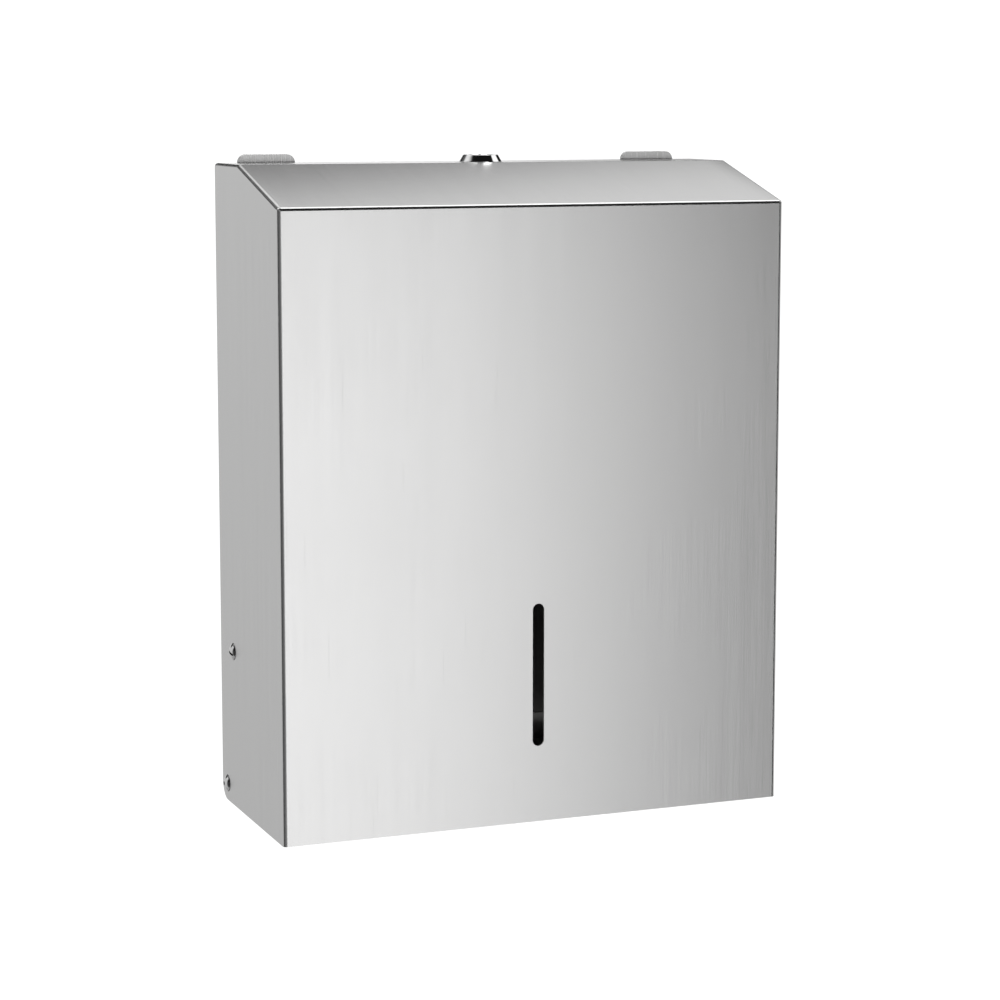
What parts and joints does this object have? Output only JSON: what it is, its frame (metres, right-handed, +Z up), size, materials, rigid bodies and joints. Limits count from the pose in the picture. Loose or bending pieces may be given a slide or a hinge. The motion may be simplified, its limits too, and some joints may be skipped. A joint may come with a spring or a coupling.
{
  "type": "wall-mounted towel dispenser",
  "caption": "Stainless wall dispenser for folded paper towels: key-locked cover hinged at its foot, level slot in front, tray with a pull-out mouth below.",
  "frame": {"origin": "centre of the four wall-screw holes, on the wall plane, half way up the cover", "axes": "+Z up, +X to the right seen from the front, +Y into the wall; the front panel faces -Y"},
  "size_m": [0.2742, 0.109, 0.3363],
  "materials": {
    "cover_steel": "satin with a fine upright brushed grain",
    "plate_steel": "brushed, duller where it lies inside the bay",
    "inner_steel": "dull mill finish",
    "polished_steel": "polished",
    "lock_chrome": "bright chrome plate",
    "plug_nickel": "nickel plate, turned",
    "zinc_steel": "bright zinc plate",
    "nylon": "natural nylon"
  },
  "bodies": {
    "base": {"back_plate": "plate_steel", "cheek_left": "inner_steel", "cheek_right": "inner_steel", "towel_tray": "inner_steel", "lock_strike": "zinc_steel", "hinge_bush_left": "nylon", "hinge_bush_right": "nylon"},
    "cover": {"front_cover": "cover_steel", "hinge_pin_left": "polished_steel", "hinge_pin_right": "polished_steel", "hinge_pin_clips": "zinc_steel", "stop_screw_left": "polished_steel", "stop_screw_right": "polished_steel", "stop_sleeve_left": "nylon", "stop_sleeve_right": "nylon", "stop_washers": "zinc_steel", "stop_nuts": "zinc_steel", "lock_housing": "lock_chrome", "lock_washer": "zinc_steel", "lock_nut": "lock_chrome"},
    "lock": {"lock_plug": "plug_nickel", "lock_wafers": "plug_nickel", "lock_stop_washer": "zinc_steel", "lock_cam": "zinc_steel", "cam_screw": "zinc_steel"}
  },
  "joints": [
    {"name": "cover_hinge", "type": "hinge", "parent": "base", "child": "cover", "pos_m": [0, -0.0095, -0.157], "axis": [1, 0, 0], "range_deg": [0, 60]},
    {"name": "lock_turn", "type": "hinge", "parent": "cover", "child": "lock", "pos_m": [0, -0.0285, 0.166], "axis": [0, 0, -1], "range_deg": [0, 90]}
  ]
}
